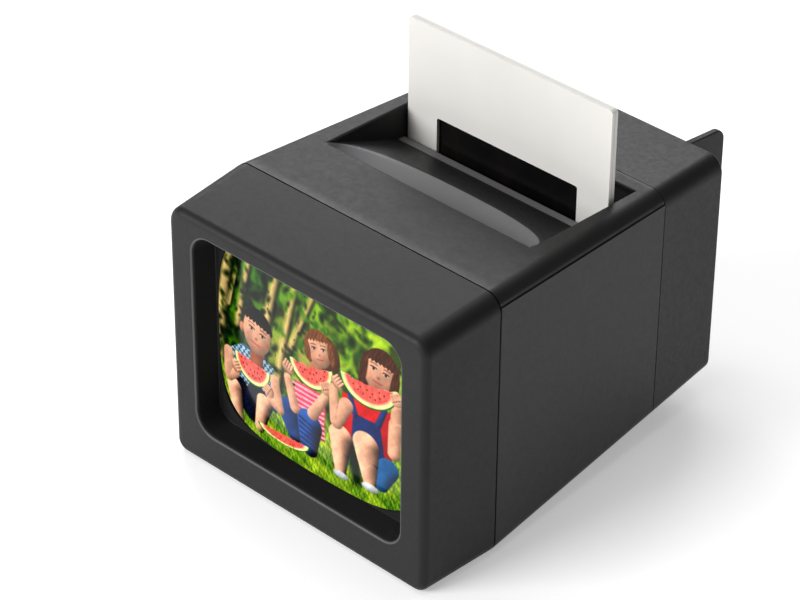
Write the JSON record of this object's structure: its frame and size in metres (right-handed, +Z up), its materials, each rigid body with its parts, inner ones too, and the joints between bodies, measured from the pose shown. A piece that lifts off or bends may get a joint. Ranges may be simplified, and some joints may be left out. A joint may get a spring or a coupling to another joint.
{
  "type": "slide viewer",
  "caption": "Desktop battery slide viewer: a tapered case with a magnifying lens in front, a slide slot with a press-to-light rest on top, and a slide-off rear battery cover.",
  "frame": {"origin": "on the table, below the middle of the outer box", "axes": "+Z up, +Y from the lens to the battery cover, +X to the right of someone looking into the lens"},
  "size_m": [0.066, 0.0936, 0.0742],
  "materials": {
    "case_plastic": "fine grained charcoal moulding",
    "black_plastic": "matt black moulding",
    "clear_acrylic": "polished clear acrylic",
    "opal_acrylic": "translucent white",
    "white_plastic": "glossy white",
    "mount_card": "off-white card, matt",
    "film_base": "dark film, glossy",
    "screw_steel": "zinc plated",
    "contact_brass": "bright",
    "circuit_board": "green solder mask",
    "foot_rubber": "matt black",
    "battery_sleeve": "plain printed sleeve",
    "lamp_phosphor": "yellow phosphor under clear resin",
    "red_insulation": "smooth",
    "black_insulation": "smooth",
    "resistor_body": "lacquered"
  },
  "bodies": {
    "case": {"front_bezel": "case_plastic", "main_housing": "case_plastic", "top_cover": "case_plastic", "viewing_lens": "clear_acrylic", "lens_retainer": "black_plastic", "lens_screw_1": "screw_steel", "lens_screw_2": "screw_steel", "lens_screw_3": "screw_steel", "lens_screw_4": "screw_steel", "light_baffle": "black_plastic", "slide_gate": "black_plastic", "slide_spring_left": "contact_brass", "slide_spring_right": "contact_brass", "rest_spring_left": "screw_steel", "rest_spring_right": "screw_steel", "contact_pad_left": "contact_brass", "contact_pad_right": "contact_brass", "diffuser": "opal_acrylic", "reflector_box": "white_plastic", "led_board": "circuit_board", "led_1": "lamp_phosphor", "led_2": "lamp_phosphor", "led_3": "lamp_phosphor", "led_4": "lamp_phosphor", "resistor": "resistor_body", "battery_tray": "black_plastic", "battery_upper": "battery_sleeve", "battery_lower": "battery_sleeve", "battery_spring_upper": "screw_steel", "battery_spring_lower": "screw_steel", "battery_plate_upper": "screw_steel", "battery_plate_lower": "screw_steel", "wire_red": "red_insulation", "wire_black": "black_insulation", "bezel_screw_left": "screw_steel", "bezel_screw_right": "screw_steel", "rear_foot_left": "foot_rubber", "rear_foot_right": "foot_rubber"},
    "rest": {"slide_rest": "black_plastic", "contact_bridge": "contact_brass"},
    "slide": {"slide_mount_front": "mount_card", "slide_mount_back": "mount_card", "film_chip": "film_base"},
    "cover": {"rear_cover": "case_plastic"}
  },
  "joints": [
    {"name": "rest_press", "type": "slide", "parent": "case", "child": "rest", "axis": [0, 0, 1], "range_m": [-0.002, 0], "stiffness_N_per_m": 150, "springref_m": 0.002, "deforming": ["rest_spring_left", "rest_spring_right"]},
    {"name": "slide_insert", "type": "slide", "parent": "rest", "child": "slide", "axis": [0, 0, 1], "range_m": [-0.01245, 0.03]},
    {"name": "cover_slide", "type": "slide", "parent": "case", "child": "cover", "axis": [0, 1, 0], "range_m": [0, 0.03]}
  ]
}
